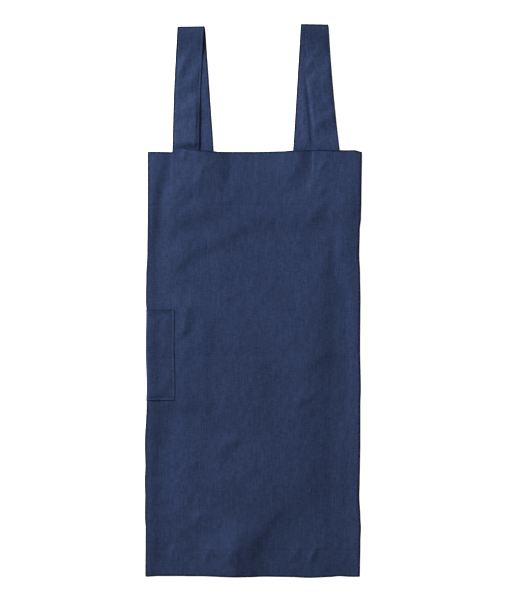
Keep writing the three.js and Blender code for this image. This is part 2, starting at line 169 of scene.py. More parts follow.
# The front panel's folds. ahead and behind are how far a fold reaches on the right and the left of a path
# that runs down, and high is its height, in millimetres. The path holds places across, as shares of the
# front's width from its middle, and down, as shares of the body's length from the top edge.
FOLDS = [
    # the left shoulder: a lifted corner, and the hollow between it and the strap's tail
    dict(ahead=9, behind=16, high=0.8,
         path=[(-0.420, -0.055), (-0.448, 0.044), (-0.476, 0.107), (-0.495, 0.166)]),
    dict(ahead=19, behind=13, high=-2.6,
         path=[(-0.355, -0.069), (-0.393, 0.025), (-0.430, 0.100), (-0.453, 0.170), (-0.472, 0.278),
               (-0.481, 0.386)]),
    # crumples over the left strap's tail
    dict(ahead=42, behind=46, high=2.7, path=[(-0.216, -0.064), (-0.230, 0.032), (-0.253, 0.123)]),
    dict(ahead=5, behind=6, high=1, path=[(-0.230, 0.025), (-0.248, 0.051), (-0.276, 0.081)]),
    dict(ahead=5, behind=6, high=0.7, path=[(-0.313, -0.003), (-0.337, 0.034)]),
    dict(ahead=5, behind=7, high=0.8, path=[(-0.323, 0.072), (-0.360, 0.105)]),
    dict(ahead=4, behind=4, high=-0.8, path=[(-0.276, 0.095), (-0.309, 0.128)]),
    # between the straps: a hollow, the crease of storage and the hollow beside the right tail
    dict(ahead=10, behind=16, high=-1.2, path=[(-0.099, -0.055), (-0.113, 0.034), (-0.118, 0.105)]),
    dict(ahead=3.5, behind=3.5, high=0.35, path=[(0.017, -0.027), (0.012, 0.058), (0.008, 0.138)]),
    dict(ahead=15, behind=30, high=2, path=[(0.222, -0.060), (0.185, 0.032), (0.124, 0.100)]),
    dict(ahead=11, behind=15, high=-2.8, path=[(0.319, -0.060), (0.268, 0.032), (0.212, 0.100)]),
    # crumples over the right strap's tail
    dict(ahead=4, behind=5, high=0.9, path=[(0.310, -0.003), (0.278, 0.027)]),
    dict(ahead=4, behind=5, high=0.8, path=[(0.329, 0.020), (0.296, 0.058)]),
    dict(ahead=5, behind=7, high=0.8, path=[(0.338, 0.077), (0.292, 0.105)]),
    # below the facing's edge
    dict(ahead=14, behind=12, high=0.8, path=[(-0.044, 0.105), (-0.183, 0.123), (-0.313, 0.140)]),
    dict(ahead=11, behind=12, high=1, path=[(0.343, 0.119), (0.278, 0.145), (0.236, 0.177)]),
    dict(ahead=14, behind=12, high=0.8, path=[(-0.285, 0.142), (-0.365, 0.166), (-0.406, 0.208)]),
    dict(ahead=26, behind=12, high=0.9, path=[(0.059, 0.128), (0.022, 0.166), (-0.025, 0.199)]),
    dict(ahead=22, behind=18, high=0.7, path=[(0.264, 0.189), (0.198, 0.260)]),
    dict(ahead=8, behind=9, high=0.7, path=[(-0.011, 0.123), (-0.020, 0.166)]),
    # the long fold from the left edge
    dict(ahead=15, behind=26, high=1.8,
         path=[(0.105, 0.128), (-0.030, 0.170), (-0.155, 0.203), (-0.248, 0.217), (-0.313, 0.236),
               (-0.355, 0.262), (-0.393, 0.297), (-0.434, 0.349)]),
    dict(ahead=16, behind=9, high=-0.7,
         path=[(-0.109, 0.231), (-0.225, 0.246), (-0.295, 0.269), (-0.341, 0.307)]),
    dict(ahead=8, behind=9, high=-0.8, path=[(-0.290, 0.297), (-0.327, 0.354)]),
    # beside the pocket
    dict(ahead=8, behind=8, high=1.2, path=[(-0.309, 0.354), (-0.318, 0.398), (-0.332, 0.438)]),
    dict(ahead=14, behind=6, high=-0.8,
         path=[(-0.262, 0.358), (-0.272, 0.405), (-0.309, 0.433), (-0.369, 0.454)]),
    dict(ahead=6, behind=9, high=0.6, path=[(-0.309, 0.429), (-0.304, 0.466), (-0.309, 0.504)]),
    dict(ahead=7, behind=10, high=0.8, path=[(-0.388, 0.504), (-0.406, 0.546), (-0.444, 0.588)]),
    # down the right side, inside the side fold and along the wing's hidden edge
    dict(ahead=10, behind=38, high=2.8,
         path=[(0.468, -0.031), (0.482, 0.105), (0.482, 0.231), (0.478, 0.363), (0.468, 0.504)]),
    dict(ahead=40, behind=50, high=3.6, path=[(0.608, 0.203), (0.478, 0.206), (0.338, 0.208)]),
    dict(ahead=7, behind=22, high=1.2, path=[(0.357, 0.170), (0.347, 0.236), (0.333, 0.307)]),
    dict(ahead=12, behind=6, high=-0.6, path=[(0.394, 0.180), (0.385, 0.246), (0.375, 0.321)]),
    dict(ahead=11, behind=38, high=-2.1,
         path=[(0.394, 0.199), (0.422, 0.349), (0.426, 0.466), (0.408, 0.584), (0.375, 0.677),
               (0.361, 0.818), (0.343, 1.020)]),
    dict(ahead=28, behind=46, high=1.8,
         path=[(0.273, 0.152), (0.282, 0.349), (0.273, 0.466), (0.268, 0.631), (0.254, 0.771),
               (0.226, 0.994)]),
    dict(ahead=4, behind=5, high=0.5, path=[(0.417, 0.579), (0.357, 0.673)]),
    # the middle
    dict(ahead=70, behind=70, high=0.6, path=[(-0.225, 0.302), (-0.132, 0.490), (-0.118, 0.668)]),
    dict(ahead=11, behind=16, high=0.8, path=[(0.357, 0.466), (0.282, 0.490), (0.208, 0.518)]),
    dict(ahead=7, behind=12, high=0.9, path=[(0.282, 0.569), (0.231, 0.588), (0.180, 0.605)]),
    dict(ahead=3, behind=3, high=-0.2, path=[(-0.500, 0.483), (-0.109, 0.478), (0.426, 0.471)]),
    # the crumple at the lower left
    dict(ahead=12, behind=12, high=1.8,
         path=[(-0.048, 0.666), (-0.099, 0.680), (-0.141, 0.701), (-0.169, 0.731)]),
    dict(ahead=24, behind=13, high=0.8, path=[(-0.085, 0.748), (-0.146, 0.781), (-0.211, 0.807)]),
    dict(ahead=3, behind=3, high=0.3, path=[(-0.527, 0.722), (-0.411, 0.729), (-0.313, 0.738)]),
    dict(ahead=24, behind=8, high=1.4, path=[(-0.211, 0.832), (-0.248, 0.861), (-0.290, 0.889)]),
    # the left side, below the pocket
    dict(ahead=22, behind=8, high=1.3,
         path=[(-0.486, 0.546), (-0.486, 0.677), (-0.490, 0.818), (-0.486, 0.959), (-0.481, 1.053)]),
    dict(ahead=26, behind=14, high=-0.9,
         path=[(-0.416, 0.555), (-0.411, 0.748), (-0.416, 0.912), (-0.425, 1.053)]),
    # the hollow over the hem, with the ridges that run into it
    dict(ahead=30, behind=120, high=4.8,
         path=[(0.180, 0.912), (0.003, 0.886), (-0.146, 0.872), (-0.304, 0.875), (-0.481, 0.898)]),
    dict(ahead=10, behind=24, high=2.8,
         path=[(-0.095, 0.865), (-0.085, 0.924), (-0.081, 0.983), (-0.081, 1.147)]),
    dict(ahead=42, behind=80, high=9,
         path=[(-0.099, 0.856), (-0.085, 0.917), (-0.076, 0.978), (-0.071, 1.147)]),
    dict(ahead=26, behind=20, high=-2, path=[(0.050, 0.842), (0.054, 0.959), (0.054, 1.100)]),
    dict(ahead=9, behind=16, high=0.8, path=[(0.138, 0.828), (0.077, 0.868), (0.012, 0.919)]),
    dict(ahead=60, behind=50, high=0.9, path=[(-0.006, 0.677), (0.022, 0.771), (0.040, 0.865)]),
]
# Slanting crumples that the hem's stitching draws up
HEM_CRUMPLES = dict(across=(-0.375, -0.215, -0.1, 0.19, 0.28, 0.43), high=(1.0, 1.1, 1.0, 0.9, 1.3, 0.8))
CRUMPLE_SLANT = 0.02
for across, high in zip(HEM_CRUMPLES["across"], HEM_CRUMPLES["high"]):
    path = [(across + CRUMPLE_SLANT, 0.918), (across, 0.945), (across - CRUMPLE_SLANT, 0.972)]
    FOLDS.append(dict(ahead=9, behind=5, high=high, path=path))

# Crumples all over the front: their height, their size down and across, how far they lean across and down,
# and the seed of each kind
CRUMPLES = [
    dict(high=0.9 * MM, long=150 * MM, wide=90 * MM, lean=0.35, dip=0, seed=3.1),
    dict(high=0.7 * MM, long=60 * MM, wide=34 * MM, lean=-0.5, dip=0, seed=7.7),
    dict(high=0.36 * MM, long=21 * MM, wide=16 * MM, lean=0, dip=0.3, seed=12.3),
]


def smooth(share):
    """0 to 1 with soft ends"""
    share = np.clip(share, 0, 1)
    return share * share * (3 - 2 * share)


def mix(low, high, share):
    return low + (high - low) * share


def hump(away, reach):
    """1 at no distance, and softly down to 0 past reach"""
    return np.exp(-((away / reach) ** 2))


def eased(table, key, column, place):
    """A table's column at a place between its rows"""
    keys, values = np.array(table[key]), np.array(table[column])
    row = np.clip(np.searchsorted(keys, place), 1, len(keys) - 1)
    share = smooth((place - keys[row - 1]) / (keys[row] - keys[row - 1]))
    return mix(values[row - 1], values[row], share)


def cover(place, low, high, soft=SOFT):
    """1 from low to high and a little past them, and softly down to 0 further out"""
    return 1 - smooth((np.maximum(low - place, place - high) - MARGIN) / soft)


def strap_cover(x, down, middle, soft=SEAM_SOFT, end_soft=SEAM_SOFT):
    across = cover(x, middle - STRAP_WIDTH / 2, middle + STRAP_WIDTH / 2, soft)
    return across * cover(down, -FAR, STRAP_TAIL, end_soft)


def rounded(points, steps=5):
    """The points of a smooth curve through the given ones"""
    ends = [2 * points[0] - points[1], *points, 2 * points[-1] - points[-2]]
    share = np.linspace(0, 1, steps, endpoint=False)[:, None]
    curve = []
    for before, start, end, after in zip(ends, ends[1:], ends[2:], ends[3:]):
        bend = (2 * before - 5 * start + 4 * end - after) * share**2
        curve.append(start + ((end - before) * share + bend + (3 * start - before - 3 * end + after) * share**3) / 2)
    return np.concatenate([*curve, points[-1:]])


def fold_height(x, down, fold, scale):
    """Height of one fold: a ridge, or below 0 a hollow, along a path at whose ends it is nothing"""
    points = rounded(np.array(fold["path"]) * scale)
    lengths = np.hypot(*(points[1:] - points[:-1]).T)
    whole = np.zeros_like(x)
    margin = FOLD_FADE * max(fold["ahead"], fold["behind"]) * MM
    low, high = points.min(axis=0) - margin, points.max(axis=0) + margin
    near = (x > low[0]) & (x < high[0]) & (down > low[1]) & (down < high[1])
    x, down = x[near], down[near]
    nearest, height = np.full_like(x, FAR), np.zeros_like(x)
    for start, end, before, length in zip(points, points[1:], np.cumsum(lengths) - lengths, lengths):
        run_x, run_down = end - start
        share = np.clip(((x - start[0]) * run_x + (down - start[1]) * run_down) / length**2, 0, 1)
        away_x, away_down = x - start[0] - share * run_x, down - start[1] - share * run_down
        away = np.hypot(away_x, away_down)
        reach = np.where(run_down * away_x > run_x * away_down, fold["ahead"], fold["behind"]) * MM
        along = (before + share * length) / lengths.sum()
        swell = smooth(np.minimum(along, 1 - along) / FOLD_END) * hump(away, reach)
        height = np.where(away < nearest, fold["high"] * MM * swell, height)
        nearest = np.minimum(away, nearest)
    whole[near] = height
    return whole


def ripple(x, down, long, wide, seed):
    """Soft waves between -1 and 1, of about the given sizes down and across"""
    places = zip((x / wide).tolist(), (down / long).tolist())
    return np.array([noise.noise((across, along, seed)) for across, along in places])


def front_relief(x, down):
    """How far the front's folds and crumples stand over its mean lie"""
    wander_x = x + WANDER * ripple(x, down, 45 * MM, 40 * MM, 61.3)
    wander_down = down + WANDER * ripple(x, down, 45 * MM, 40 * MM, 71.9)
    relief = sum(fold_height(wander_x, wander_down, fold, (FRONT_WIDTH, BODY_LENGTH)) for fold in FOLDS)
    for kind in CRUMPLES:
        across, along = x + kind["lean"] * down, down + kind["dip"] * x
        relief += kind["high"] * ripple(across, along, kind["long"], kind["wide"], kind["seed"])
    on_band = cover(down, HEM_TOP, FAR) + cover(down, -FAR, FACING_DEPTH)
    return relief + 0.22 * MM * on_band * ripple(x, down, 21 * MM, 8 * MM, 21.9)


def left_wing_height(x, down, soft=SEAM_SOFT):
    on_pocket = cover(x, -FAR, POCKET_EDGE_BEHIND, soft) * cover(down, POCKET_TOP, POCKET_BOTTOM, soft)
    return LAYER * on_pocket


def right_wing_height(x, down):
    on_wing = LAYER * cover(x, -FAR, WING_EDGE) + STRAP_LAYER * strap_cover(x, down, BACK_FOOT)
    return left_wing_height(x, down) + on_wing


def stack_height(x, down, wing_soft, tail_soft, tail_end_soft, band_soft):
    """Height of all that lies under the front panel, with its edges softened as far as given"""
    stack = left_wing_height(x, down, wing_soft) + LAYER * cover(x, -FAR, WING_EDGE, wing_soft)
    stack += STRAP_LAYER * strap_cover(x, down, BACK_FOOT, tail_soft, tail_end_soft)
    stack += LAYER * cover(x, -WING_EDGE, FAR, wing_soft)
    stack += STRAP_LAYER * strap_cover(x, down, -BACK_FOOT, tail_soft, tail_end_soft)
    for strap in STRAPS:
        foot = strap["side"] * strap["foot"] * FRONT_WIDTH
        stack = mix(stack, FRONT_TAIL + STRAP_LAYER, strap_cover(x, down, foot, tail_soft, tail_end_soft))
    stack += LAYER * cover(down, -FAR, FACING_DEPTH, band_soft)
    return stack + LAYER * cover(down, HEM_TOP, FAR, band_soft)


def front_height(x, down):
    """Height of the front's underside, which spans the edges below it and sinks to them in its hollows"""
    touching = stack_height(x, down, WING_TOUCH, SEAM_SOFT, SEAM_SOFT, SOFT) + GAP
    spanning = stack_height(x, down, WING_SOFT, TAIL_SOFT, TAIL_END_SOFT, BAND_SOFT) + AIR
    in_from_fold = HALF_FRONT - np.abs(x) - 2 * FOLD_REACH
    beside_fold = 1 - smooth(in_from_fold / PUFF_REACH)
    spanning += front_relief(x, down) * mix(1, PUFF_CALM, beside_fold) + PUFF_HEIGHT * beside_fold
    height = touching + SINK * np.logaddexp(0, (spanning - touching) / SINK)
    from_edge = np.minimum(down, BODY_LENGTH - down)
    roll = np.clip(1 - from_edge / EDGE_ROLL, 0, 1)
    return height - EDGE_DROP * roll**2


def seam_pull(down):
    """How far stitching draws the front down along the facing's edge and the hem's"""
    facing = hump(down - FACING_STITCHES, SEAM_PULL_REACH)
    return SEAM_PULL * (facing + hump(down - HEM_STITCHES, SEAM_PULL_REACH))


def body_place(across, down):
    """Places on the folded cloth, across it from the middle of the front and down from its top edge"""
    reach = np.abs(across)
    turn = np.clip((reach - FOLD_LINE) / FOLD_ARC, 0, 1)
    behind = np.maximum(reach - FOLD_LINE - FOLD_ARC, 0)
    x = np.sign(across) * (np.minimum(reach, FOLD_LINE) - behind)
    on_front = (1 + np.cos(math.pi * turn)) / 2
    wing = np.where(across < 0, left_wing_height(x, down), right_wing_height(x, down))
    height = mix(wing, front_height(x, down) - seam_pull(down), on_front)
    x = x + np.sign(across) * FOLD_REACH * np.sin(math.pi * turn)
    place = down / BODY_LENGTH
    left = EDGE_WAVE * eased(SIDE_LINE, "along", "left", place)
    right = EDGE_WAVE * eased(SIDE_LINE, "along", "right", place)
    share = x / FRONT_WIDTH
    moved = x + mix(-left, right, share + 0.5)
    rise = TOP_WAVE * eased(TOP_LINE, "across", "rise", share) * (1 - smooth(down / FACING_DEPTH))
    drop = HEM_WAVE * eased(HEM_LINE, "across", "drop", share) * smooth(1 + (down - BODY_LENGTH) / HEM_DEPTH)
    level = (rise - drop) * on_front * smooth((HALF_FRONT - np.abs(x)) / BAND_INSET)
    return np.stack([moved, TOP_EDGE - down + level, height + CLOTH / 2], axis=-1)


def outward(place, across, down):
    """Outward normals of a surface given by its places"""
    step = 0.6 * MM
    along_row = place(across + step, down) - place(across - step, down)
    along_column = place(across, down + step) - place(across, down - step)
    normals = np.cross(along_column, along_row)
    return normals / np.linalg.norm(normals, axis=-1, keepdims=True)


def spread(low, high, step, fine_step, fine_at, reach=6 * MM):
    """Places from low to high, step apart, and fine_step apart within reach of the places in fine_at"""
    dense = np.linspace(low, high, 4000)
    spacing = np.full_like(dense, step)
    for key in fine_at:
        near = 1 - smooth((np.abs(dense - key) - reach) / reach)
        spacing = np.minimum(spacing, mix(step, fine_step, near))
    counted = np.concatenate([[0], np.cumsum(np.diff(dense) / spacing[1:])])
    return np.interp(np.linspace(0, counted[-1], math.ceil(counted[-1]) + 1), counted, dense)


def cloth_sheet(name, across, down, place, thickness, wear_and_shade):
    """A sheet of cloth with grid lines at the given places across and down, laid by place and given its thickness.
    Its UV map holds those places in metres. Its wear attribute is above 0 where the cloth is rubbed pale and
    below 0 where shade is painted dark into it."""
    sheet = bmesh.new()
    bmesh.ops.create_grid(sheet, x_segments=len(across) - 1, y_segments=len(down) - 1, size=0.5)
    mesh = bpy.data.meshes.new(name)
    sheet.to_mesh(mesh)
    sheet.free()
    lattice = np.empty(3 * len(mesh.vertices))
    mesh.vertices.foreach_get("co", lattice)
    lattice = lattice.reshape(-1, 3)
    cells = np.rint((lattice[:, :2] + 0.5) * (len(across) - 1, len(down) - 1)).astype(int)
    across, down = across[cells[:, 0]], down[len(down) - 1 - cells[:, 1]]
    mesh.vertices.foreach_set("co", place(across, down).ravel())
    corners = np.empty(len(mesh.loops), dtype=int)
    mesh.loops.foreach_get("vertex_index", corners)
    mesh.uv_layers.new(name="cloth").uv.foreach_set("vector", np.stack([across, -down], axis=-1)[corners].ravel())
    mesh.attributes.new("wear_and_shade", "FLOAT", "POINT").data.foreach_set("value", wear_and_shade(across, down))
    mesh.polygons.foreach_set("use_smooth", np.ones(len(mesh.polygons), dtype=bool))
    mesh.update()
    piece = bpy.data.objects.new(name, mesh)
    bpy.context.scene.collection.objects.link(piece)
    wall = piece.modifiers.new("thickness", "SOLIDIFY")
    wall.thickness = thickness
    wall.offset = 0
    return piece


class Shade:
    """A link in a material's node tree. Sums of links add Math nodes."""

    def __init__(self, tree, socket=None):
        self.tree = tree
        self.socket = socket

    def node(self, kind, settings=None, values=None, out=0):
        made = self.tree.nodes.new(kind)
        for name, value in (settings or {}).items():
            setattr(made, name, value)
        for name, value in (values or {}).items():
            if isinstance(value, Shade):
                self.tree.links.new(value.socket, made.inputs[name])
            else:
                made.inputs[name].default_value = value
        return Shade(self.tree, made.outputs[out] if made.outputs else None)

    def math(self, operation, first, second=0.0):
        return self.node("ShaderNodeMath", {"operation": operation}, {0: first, 1: second})

    def __add__(self, other):
        return self.math("ADD", self, other)

    def __sub__(self, other):
        return self.math("SUBTRACT", self, other)

    def __rsub__(self, other):
        return self.math("SUBTRACT", other, self)

    def __mul__(self, other):
        return self.math("MULTIPLY", self, other)

    __radd__ = __add__
    __rmul__ = __mul__


YARN = 0.72 * MM  # from one yarn of the plain weave to the next
NAVY_DEEP = (0.0118, 0.0200, 0.0510, 1)
NAVY_PALE = (0.0317, 0.0482, 0.1155, 1)


def linen(name, deep, pale, relief=1.0):
    """Plain-woven linen: slubby yarns both ways, cloudy dye, worn edges, painted shade, creases as high as relief
    says
    """
    material = bpy.data.materials.new(name)
    material.use_nodes = True
    material.node_tree.nodes.clear()
    shade = Shade(material.node_tree)
    cloth = shade.node("ShaderNodeUVMap", {"uv_map": "cloth"})
    across = shade.node("ShaderNodeSeparateXYZ", values={"Vector": cloth}, out=0)
    along = shade.node("ShaderNodeSeparateXYZ", values={"Vector": cloth}, out=1)

    def cloud(scale_across, scale_along, detail=2.0, rough=0.5):
        place = shade.node("ShaderNodeCombineXYZ", values={"X": across * scale_across, "Y": along * scale_along})
        values = {"Vector": place, "Scale": 1.0, "Detail": detail, "Roughness": rough}
        return shade.node("ShaderNodeTexNoise", values=values) - 0.5

    wander = cloud(70, 24) * 1.3
    warp_side = shade.math("SINE", (across * (1 / YARN) + wander) * math.pi)
    weft_side = shade.math("SINE", (along * (1 / YARN) + wander) * math.pi)
    weave = shade.math("ABSOLUTE", warp_side * weft_side)
    warp_slub = cloud(400, 48, 3.0, 0.6)
    weft_slub = cloud(75, 420, 3.0, 0.6)
    long_slub = cloud(420, 13)
    fine_yarns = cloud(900, 120) + cloud(120, 900)
    dye = cloud(16, 12, 3.0) + cloud(55, 42) * 0.6
    # the attribute holds rubbed pale wear above 0 and painted shade below 0
    wear_and_shade = shade.node("ShaderNodeAttribute", {"attribute_name": "wear_and_shade"}, out=2)

    # Past 0 and 1 the tone goes a little deeper and a little paler than the two colours
    tone = 0.40 + warp_slub * 0.95 + weft_slub * 0.85 + fine_yarns * 0.8 + long_slub * 0.5 + dye * 0.3
    tone = tone + weave * 0.10 + wear_and_shade * (0.3 + warp_slub * 0.8)
    tone = shade.math("MINIMUM", shade.math("MAXIMUM", tone, -0.45), 1.3)
    settings = {"data_type": "RGBA", "clamp_factor": False}
    colour = shade.node("ShaderNodeMix", settings, {"Factor": tone, 6: deep, 7: pale}, out=2)
    crease = cloud(120, 95, 4.0, 0.62) * 0.9 + cloud(300, 260) * 0.25
    height = crease * (0.55 * relief) + (warp_slub + weft_slub) * 0.16 + weave * 0.10
    bump = shade.node("ShaderNodeBump", values={"Strength": 0.8, "Distance": 0.8 * MM, "Height": height})
    values = {"Base Color": colour, "Roughness": 0.86 + weft_slub * 0.12, "Normal": bump}
    values |= {"Specular IOR Level": 0.05, "Sheen Weight": 0.04, "Sheen Roughness": 0.45}
    values["Sheen Tint"] = (0.25, 0.36, 0.75, 1)
    surface = shade.node("ShaderNodeBsdfPrincipled", values=values)
    shade.node("ShaderNodeOutputMaterial", values={"Surface": surface})
    return material


RIM = 2.1 * MM  # how much of a folded edge is painted dark as shade
RIM_FADE = 2 * MM
RIM_SHADE = 2.4  # how much the painted shade lowers the tone there
RUBBED_IN = 9 * MM  # from a side fold's middle to the rubbed line beside it
RUBBED_REACH = 3 * MM


def body_wear_and_shade(across, down):
    """Rubbed pale beside the side folds, and painted dark as shade in them, in the top edge and in the hem's edge"""
    to_fold = np.abs(FOLD_MIDDLE - np.abs(across))
    to_end = np.minimum(down, BODY_LENGTH - down)
    fold_shade = 1 - smooth((to_fold - FOLD_ARC / 2) / RIM_FADE)
    end_shade = 1 - smooth((to_end - RIM) / RIM_FADE)
    # painted shade: the folded edges are darkened where the cloth turns down away from the light
    return 0.5 * hump(to_fold - RUBBED_IN, RUBBED_REACH) - RIM_SHADE * np.maximum(fold_shade, end_shade)


tail_edges = [
    strap["side"] * strap["foot"] * FRONT_WIDTH + way * STRAP_WIDTH / 2 for strap in STRAPS for way in (-1, 1)
]
front_edges = (-FOLD_MIDDLE, FOLD_MIDDLE)
front_columns = spread(*front_edges, 3.2 * MM, 1.9 * MM, (*front_edges, *tail_edges))
wing_columns = spread(FOLD_MIDDLE, CLOTH_EDGE, 17 * MM, 1.6 * MM, (FOLD_MIDDLE, CLOTH_EDGE))
body_columns = np.concatenate([-wing_columns[:0:-1], front_columns, wing_columns[1:]])
seam_rows = (0, FACING_DEPTH, HEM_TOP, BODY_LENGTH)
body_rows = spread(0, BODY_LENGTH, 3.8 * MM, 1.1 * MM, seam_rows, 4 * MM)

navy_linen = linen("navy_linen", NAVY_DEEP, NAVY_PALE)
body_cloth = cloth_sheet("body_cloth", body_columns, body_rows, body_place, CLOTH, body_wear_and_shade)
body_cloth.data.materials.append(navy_linen)
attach(body_cloth, "root")
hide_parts("body_panel")


# The top facing
# A band of the same linen, turned in along the top edge and sewn down at its lower edge. It holds the front
# ends of both straps between itself and the wings.
BAND_START = 0.4 * MM  # a turned-in band starts just inside the fold


def tinted(colour, share):
    """A darker or paler colour"""
    return tuple(share * part for part in colour[:3]) + (1,)


def inside_place(across, down):
    """Places one layer in from the body's cloth"""
    return body_place(across, down) - LAYER * outward(body_place, across, down)


def unworn(across, down):
    return np.zeros_like(across)


inside_linen = linen("navy_linen_inside", tinted(NAVY_DEEP, 0.9), tinted(NAVY_PALE, 0.85))
band_edge = HALF_FRONT - BAND_INSET
band_columns = spread(-band_edge, band_edge, 4 * MM, 2 * MM, tail_edges)
facing_rows = spread(BAND_START, FACING_DEPTH, 5 * MM, 1.5 * MM, (0, FACING_DEPTH), 4 * MM)
facing_cloth = cloth_sheet("facing_cloth", band_columns, facing_rows, inside_place, CLOTH, unworn)
facing_cloth.data.materials.append(inside_linen)
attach(facing_cloth, "root")
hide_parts("top_facing")


# The hem
# The lower end of the front is turned up inside by 51 mm, a second layer of the same linen, and sewn across,
# which draws up small crumples.
hem_rows = spread(HEM_TOP, BODY_LENGTH - BAND_START, 5 * MM, 1.5 * MM, seam_rows, 4 * MM)
hem_cloth = cloth_sheet("hem_cloth", band_columns, hem_rows, inside_place, CLOTH, unworn)
hem_cloth.data.materials.append(inside_linen)
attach(hem_cloth, "root")
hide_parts("bottom_hem")


# The side pocket
# A patch of the same linen that wraps round the left side fold. Its sides and bottom are turned in and
# topstitched to the body, and its top edge is open and stands off a little, except at the sewn corner.
POCKET_CLOTH = 0.6 * MM
POCKET_FRONT = 53 * MM
POCKET_TURNING = 4.5 * MM  # from the pocket's edge to its topstitching
POCKET_PULL = 0.35 * MM  # how far its topstitching draws it in
POCKET_PULL_REACH = 1.5 * MM
POCKET_AIR = 0.1 * MM  # between the pocket and the body
POCKET_TURN = 10 * MM  # the pocket comes loose over this width past the side fold
STAND_OFF = 0.9 * MM  # how far the mouth stands off the body
POCKET_MOUTH = 12 * MM  # and how far into the pocket
BELLY_HEIGHT = 0.5 * MM  # how much higher its middle stands
BELLY_REACH = 25 * MM
POCKET_CREASE = 93 * MM  # an old fold across the pocket, so far below its mouth
CREASE_DEPTH = 0.25 * MM
CREASE_REACH = 2.5 * MM
# how far into the pocket the edge of its mouth is painted dark as shade
MOUTH_SHADE = 3 * MM
pocket_front_edge = POCKET_FRONT - HALF_FRONT
pocket_back_edge = -(FOLD_LINE + FOLD_ARC + FOLD_LINE + POCKET_EDGE_BEHIND)


def pocket_place(across, down):
    """Places on the pocket, one layer out from the body"""
    from_side, from_mouth = pocket_front_edge - across, down - POCKET_TOP
    from_edge = np.minimum(from_side, POCKET_BOTTOM - down)
    eased_off = STAND_OFF * (1 - smooth(from_mouth / POCKET_MOUTH))
    eased_off = eased_off * smooth((from_side - POCKET_TURNING) / POCKET_MOUTH)
    belly = BELLY_HEIGHT * smooth(from_edge / BELLY_REACH) * smooth(from_mouth / BELLY_REACH)
    crumple = 0.25 * MM * ripple(across, down, 26 * MM, 14 * MM, 31.7)
    crease = CREASE_DEPTH * hump(from_mouth - POCKET_CREASE, CREASE_REACH)
    sewn = POCKET_PULL * hump(from_edge - POCKET_TURNING, POCKET_PULL_REACH)
    on_front = np.clip((across + FOLD_LINE) / POCKET_TURN, 0, 1)
    lift = (CLOTH + POCKET_CLOTH) / 2 + POCKET_AIR + (eased_off + belly + crumple - crease - sewn) * on_front
    return body_place(across, down) + lift[..., None] * outward(body_place, across, down)


def pocket_wear_and_shade(across, down):
    """A little paler at its edges and at its side's turning, and painted dark as shade in the edge of its mouth"""
    from_side = pocket_front_edge - across
    from_edge = np.minimum(from_side, POCKET_BOTTOM - down)
    pale = 0.2 * np.exp(-from_edge / (1.5 * MM)) + 0.25 * hump(from_side - POCKET_TURNING * 0.8, 2 * MM)
    # painted shade along the mouth's edge
    return pale - RIM_SHADE * (1 - smooth((down - POCKET_TOP) / MOUTH_SHADE))


pocket_turns = (-FOLD_MIDDLE, pocket_front_edge)
pocket_columns = spread(pocket_back_edge, pocket_front_edge, 3 * MM, 1 * MM, pocket_turns, 7 * MM)
pocket_rows = spread(POCKET_TOP, POCKET_BOTTOM, 2.6 * MM, 1 * MM, (POCKET_TOP, POCKET_BOTTOM), 6 * MM)
pocket_cloth = cloth_sheet("pocket_cloth", pocket_columns, pocket_rows, pocket_place, POCKET_CLOTH, pocket_wear_and_shade)
pocket_cloth.data.materials.append(navy_linen)
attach(pocket_cloth, "root")
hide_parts("side_pocket")


# The straps
# Each is a band of doubled and pressed linen, 50 mm wide, topstitched near both edges. It is sewn under the
# front's top edge, folded over at the shoulder and sewn to the opposite wing's corner, so that the two cross
# at the back.
STRAP_RISE = 241 * MM
STRAP_THICKNESS = 0.65 * MM
STRAP_BEND = 3.2 * MM  # radius of the shoulder's fold, to the middle of the cloth
BEND_LENGTH = math.pi * STRAP_BEND
STRAP_GAP = 0.15 * MM  # between the two layers
STRAP_SLACK = 0.05 * MM
STRAP_SINK = 0.25 * MM  # how softly a hollow comes to rest on the back layer
STRAP_LEAVE = 50 * MM  # how far from the top edge a strap comes down to lie flat
STRAP_SWELL = 62 * MM  # and how far from the shoulder it starts to rise into its bend
STRAP_INTO_BEND = 9 * MM  # and is in it without any folds
STRAP_FREE = 14 * MM  # a strap comes free of the top edge over this length
STRAP_FREE_TOP = 12 * MM  # and its back layer calms down into the bend over this one
STRAP_WAVE = 0.6 * MM  # how far its edges wander
STRAP_TURNING = 3.5 * MM  # from a strap's edge to its topstitching
STRAP_PULL = 0.2 * MM  # how far that draws it in
STRAP_PULL_REACH = 1.3 * MM
STRAP_CALM = 0.45  # what is left of the folds at a strap's edge
STRAP_CALM_REACH = 9 * MM
BEND_SHADE = 4.2 * MM  # how far the painted shade in the shoulder's fold reaches
BEND_FADE = 3 * MM
SHOULDER_SHADE_REACH = 24 * MM  # and the lighter painted shade below it
SHOULDER_SHADE_FADE = 50 * MM

